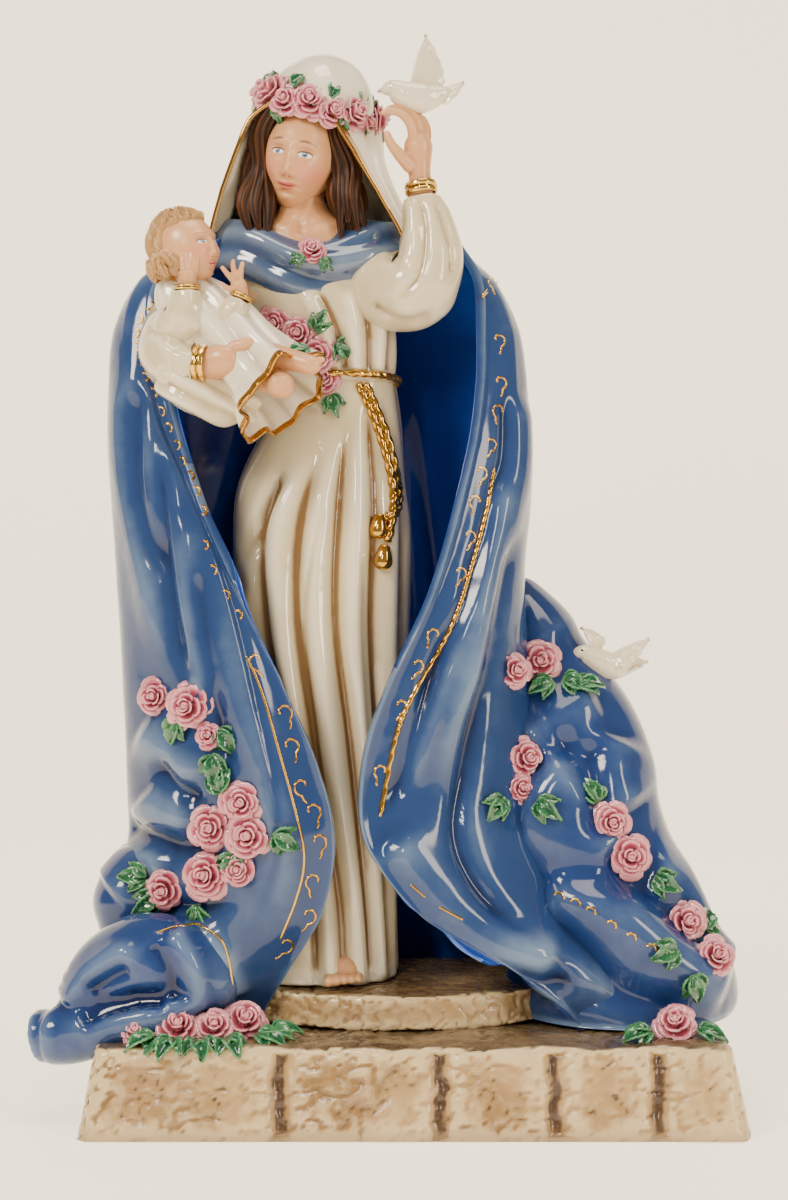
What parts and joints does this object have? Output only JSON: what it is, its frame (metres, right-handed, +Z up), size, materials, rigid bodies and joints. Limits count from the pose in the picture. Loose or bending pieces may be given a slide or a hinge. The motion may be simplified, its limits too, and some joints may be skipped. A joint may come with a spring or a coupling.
{
  "type": "madonna statue",
  "caption": "Glazed porcelain madonna in a wide blue mantle with a child, doves and hand-made roses on a stone-like plinth.",
  "frame": {"origin": "middle of the underside of the plinth, the centre of the statue's outline seen from above", "axes": "+Z up, the figure faces -Y, +X to the right as seen from the front"},
  "size_m": [0.2302, 0.124, 0.3483],
  "materials": {
    "mantle_glaze": "glossy cobalt glaze with paler ridges",
    "gown_glaze": "glossy ivory glaze",
    "skin_glaze": "glossy painted porcelain",
    "hair_glaze": "glossy dark brown",
    "child_hair_glaze": "glossy sandy brown",
    "veil_glaze": "glossy white with a gold edge",
    "gold": "burnished gold lustre",
    "rose_glaze": "glossy pink petals",
    "leaf_glaze": "glossy green",
    "dove_glaze": "glossy white",
    "stone_glaze": "glossy mottled beige and brown"
  },
  "bodies": {
    "root": {"base_leaves": "leaf_glaze", "base_lower_step": "stone_glaze", "base_upper_step": "stone_glaze", "bouquet_leaves": "leaf_glaze", "bouquet_roses": "rose_glaze", "brooch_leaves": "leaf_glaze", "brooch_rose": "rose_glaze", "child_feet": "skin_glaze", "child_gown": "gown_glaze", "child_hair": "child_hair_glaze", "child_hands": "skin_glaze", "child_head": "skin_glaze", "child_sleeves": "gown_glaze", "cradling_cuff": "gold", "cradling_hand": "skin_glaze", "cradling_sleeve": "gown_glaze", "foot": "skin_glaze", "girdle_cord": "gold", "girdle_tassels": "gold", "gown_bodice": "gown_glaze", "gown_skirt": "gown_glaze", "hair": "hair_glaze", "hand_dove_body": "dove_glaze", "hand_dove_wings": "dove_glaze", "head": "skin_glaze", "left_base_roses": "rose_glaze", "left_hem_roses": "rose_glaze", "left_middle_roses": "rose_glaze", "left_upper_roses": "rose_glaze", "mantle_back": "mantle_glaze", "mantle_leaves_left": "leaf_glaze", "mantle_leaves_right": "leaf_glaze", "mantle_left": "mantle_glaze", "mantle_right": "mantle_glaze", "neck_and_chest": "skin_glaze", "neck_cowl": "mantle_glaze", "raised_cuff": "gold", "raised_hand": "skin_glaze", "raised_sleeve": "gown_glaze", "right_base_roses": "rose_glaze", "right_front_roses": "rose_glaze", "right_hem_roses": "rose_glaze", "right_shoulder_roses": "rose_glaze", "right_side_roses": "rose_glaze", "train_dove_body": "dove_glaze", "train_dove_wings": "dove_glaze", "train_left_fold": "mantle_glaze", "train_left_roll": "mantle_glaze", "train_right_fold": "mantle_glaze", "veil_crown": "veil_glaze", "veil_drape": "veil_glaze", "waist_girdle": "gold", "wreath_roses": "rose_glaze"}
  },
  "joints": []
}
